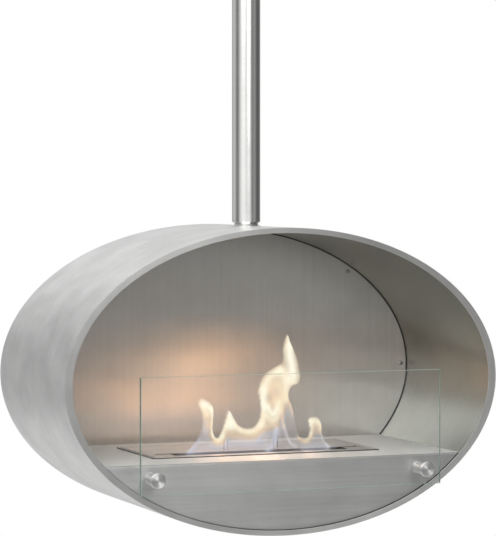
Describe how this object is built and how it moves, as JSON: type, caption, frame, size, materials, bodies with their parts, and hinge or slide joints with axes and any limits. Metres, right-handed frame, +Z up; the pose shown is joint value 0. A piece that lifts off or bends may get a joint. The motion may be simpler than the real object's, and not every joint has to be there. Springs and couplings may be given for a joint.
{
  "type": "hanging fireplace",
  "caption": "Oval double-skinned steel drum on a ceiling pole, with an ethanol burner on a hearth shelf, a sliding snuffer lid and a glass screen.",
  "frame": {"origin": "on the pole's axis, on the upper face of the ceiling plate, where it lies against the ceiling", "axes": "+Z up towards the ceiling, -Y towards the open front of the drum, +X to the right for someone facing the fire"},
  "size_m": [0.904, 0.4848, 1.3],
  "materials": {
    "drum_steel": "satin brushed stainless steel, fine grain round the drum",
    "rim_steel": "satin brushed stainless steel",
    "liner_steel": "brushed stainless steel, slightly warm",
    "panel_steel": "brushed stainless steel, upright grain",
    "hearth_steel": "brushed stainless steel, grain from side to side",
    "burner_steel": "polished and lightly brushed stainless steel",
    "pole_steel": "brushed stainless steel tube",
    "turned_steel": "turned stainless steel",
    "plain_steel": "plain mill-finish stainless steel",
    "zinc_steel": "bright zinc-plated steel",
    "dark_screw": "dark stainless screw",
    "black_steel": "black powder coat",
    "bronze": "plain bearing bronze",
    "rubber_ring": "clear-to-black silicone",
    "clear_glass": "clear toughened glass, green at its edges",
    "ceramic_wool": "white ceramic wool, matt"
  },
  "bodies": {
    "ceiling_mount": {"ceiling_plate": "black_steel", "ceiling_spigot": "plain_steel", "pole": "pole_steel", "pole_cross_bolt": "zinc_steel", "pole_cross_nut": "zinc_steel", "swivel_plug": "turned_steel", "thrust_washer": "bronze"},
    "cover": {"ceiling_cover": "pole_steel", "cover_stop_ring": "turned_steel", "cover_grub_screw": "dark_screw"},
    "drum": {"spindle": "zinc_steel", "spindle_nut": "zinc_steel", "spindle_lock_pin": "zinc_steel", "drum_collar": "turned_steel", "saddle_plate": "plain_steel", "outer_shell": "drum_steel", "front_rim": "rim_steel", "inner_shell": "liner_steel", "panel_flange": "black_steel", "back_panel": "panel_steel", "back_panel_screws": "dark_screw", "rear_frame": "plain_steel", "rear_cover": "drum_steel", "rear_cover_screws": "dark_screw", "hearth_shelf": "hearth_steel", "shelf_rails": "plain_steel", "standoff_posts": "turned_steel", "standoff_caps": "turned_steel", "standoff_studs": "zinc_steel", "standoff_nuts": "zinc_steel", "glass_gaskets": "rubber_ring", "glass_screen": "clear_glass"},
    "burner": {"burner_plate": "burner_steel", "lid_guides": "burner_steel", "spill_tray": "plain_steel", "fuel_reservoir": "plain_steel", "absorbent_pad": "ceramic_wool"},
    "lid": {"snuffer_lid": "burner_steel", "lid_pegs": "turned_steel"}
  },
  "joints": [
    {"name": "drum_swivel", "type": "hinge", "parent": "ceiling_mount", "child": "drum", "pos_m": [0, 0, -0.696], "axis": [0, 0, 1], "continuous": true},
    {"name": "cover_slide", "type": "slide", "parent": "ceiling_mount", "child": "cover", "axis": [0, 0, -1], "range_m": [0, 0.35]},
    {"name": "burner_lift", "type": "slide", "parent": "drum", "child": "burner", "axis": [0, 0, 1], "range_m": [0, 0.08]},
    {"name": "lid_slide", "type": "slide", "parent": "burner", "child": "lid", "axis": [0, -1, 0], "range_m": [0, 0.038]}
  ]
}
